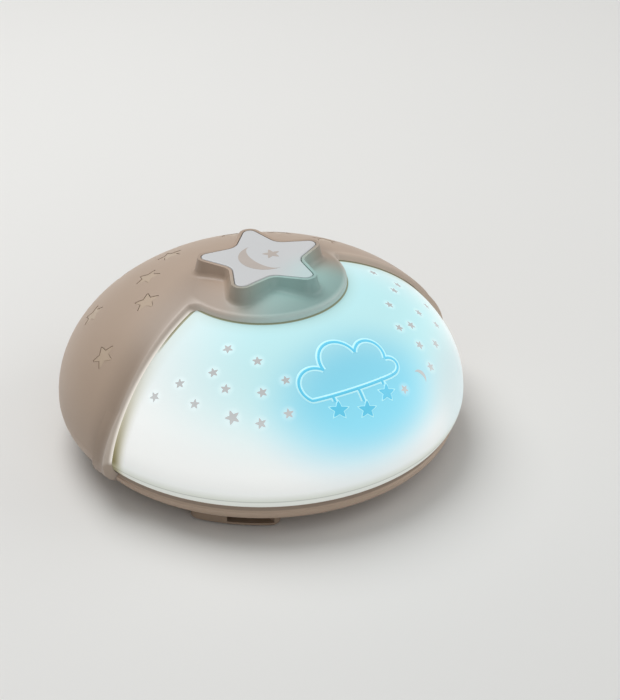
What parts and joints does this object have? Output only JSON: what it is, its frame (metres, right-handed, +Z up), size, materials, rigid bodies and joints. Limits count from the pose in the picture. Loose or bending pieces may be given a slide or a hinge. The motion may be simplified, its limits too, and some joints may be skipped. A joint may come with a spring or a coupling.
{
  "type": "night light",
  "caption": "Low domed bedside night light and star projector: white glowing front dome under a beige hood, star push button on top, strap feet below.",
  "frame": {"origin": "on the table under the middle of the outline's box; the dome's own axis stands 1.4 mm in front of it", "axes": "+Z up from the table, -Y the way the white dome faces, +X across the object to the right seen from the front"},
  "size_m": [0.181, 0.1747, 0.0825],
  "materials": {
    "hood_beige": "satin moulded beige",
    "base_beige": "satin moulded beige",
    "foot_taupe": "satin moulded taupe",
    "pad_rubber": "matt non-slip rubber",
    "dome_white": "frosted translucent white, lit from inside",
    "star_white": "satin white",
    "window_clear": "tinted translucent",
    "knob_white": "satin white",
    "inner_white": "moulded white",
    "screw_steel": "zinc plated",
    "board_green": "solder mask",
    "silicone_grey": "silicone",
    "led_clear": "clear epoxy",
    "led_white": "phosphor white",
    "chip_black": "black epoxy",
    "can_black": "sleeved can",
    "speaker_steel": "pressed steel",
    "cone_black": "paper cone",
    "magnet_iron": "ferrite",
    "cell_jacket": "plain jacket",
    "contact_nickel": "nickel plated",
    "lead_black": "insulated"
  },
  "bodies": {
    "housing": {"rear_cover": "hood_beige", "base_tray": "base_beige", "strap_foot_front_left": "foot_taupe", "strap_foot_front_right": "foot_taupe", "strap_foot_rear_left": "foot_taupe", "strap_foot_rear_right": "foot_taupe", "foot_pad_front_left": "pad_rubber", "foot_pad_front_right": "pad_rubber", "foot_pad_rear_left": "pad_rubber", "foot_pad_rear_right": "pad_rubber", "diffuser_dome": "dome_white", "star_windows": "window_clear", "button_guide": "inner_white", "speaker_retainer": "inner_white", "wire_connectors": "inner_white", "guide_screws": "screw_steel", "button_board_screws": "screw_steel", "housing_screws": "screw_steel", "main_board_screws": "screw_steel", "speaker_screws": "screw_steel", "switch_screws": "screw_steel", "main_board": "board_green", "button_board": "board_green", "switch_board": "board_green", "rubber_dome": "silicone_grey", "projector_led": "led_clear", "night_light_leds": "led_white", "control_chip": "chip_black", "mode_switch_body": "chip_black", "capacitor": "can_black", "speaker_frame": "speaker_steel", "speaker_cone": "cone_black", "speaker_magnet": "magnet_iron", "aa_cell_1": "cell_jacket", "aa_cell_2": "cell_jacket", "aa_cell_3": "cell_jacket", "flat_contacts": "contact_nickel", "spring_contacts": "contact_nickel", "button_lead": "lead_black", "speaker_lead": "lead_black", "battery_lead": "lead_black", "switch_lead": "lead_black"},
    "star": {"star_button": "star_white"},
    "knob": {"mode_switch_knob": "knob_white"},
    "door": {"battery_door": "base_beige", "door_screws": "screw_steel"}
  },
  "joints": [
    {"name": "star_press", "type": "slide", "parent": "housing", "child": "star", "axis": [0, 0, -1], "range_m": [0, 0.0018], "stiffness_N_per_m": 1200, "springref_m": -0.0006, "deforming": ["rubber_dome"]},
    {"name": "mode_slide", "type": "slide", "parent": "housing", "child": "knob", "axis": [1, 0, 0], "range_m": [-0.004, 0.004]},
    {"name": "door_pull", "type": "slide", "parent": "housing", "child": "door", "axis": [0, 0, -1], "range_m": [0, 0.014]}
  ]
}
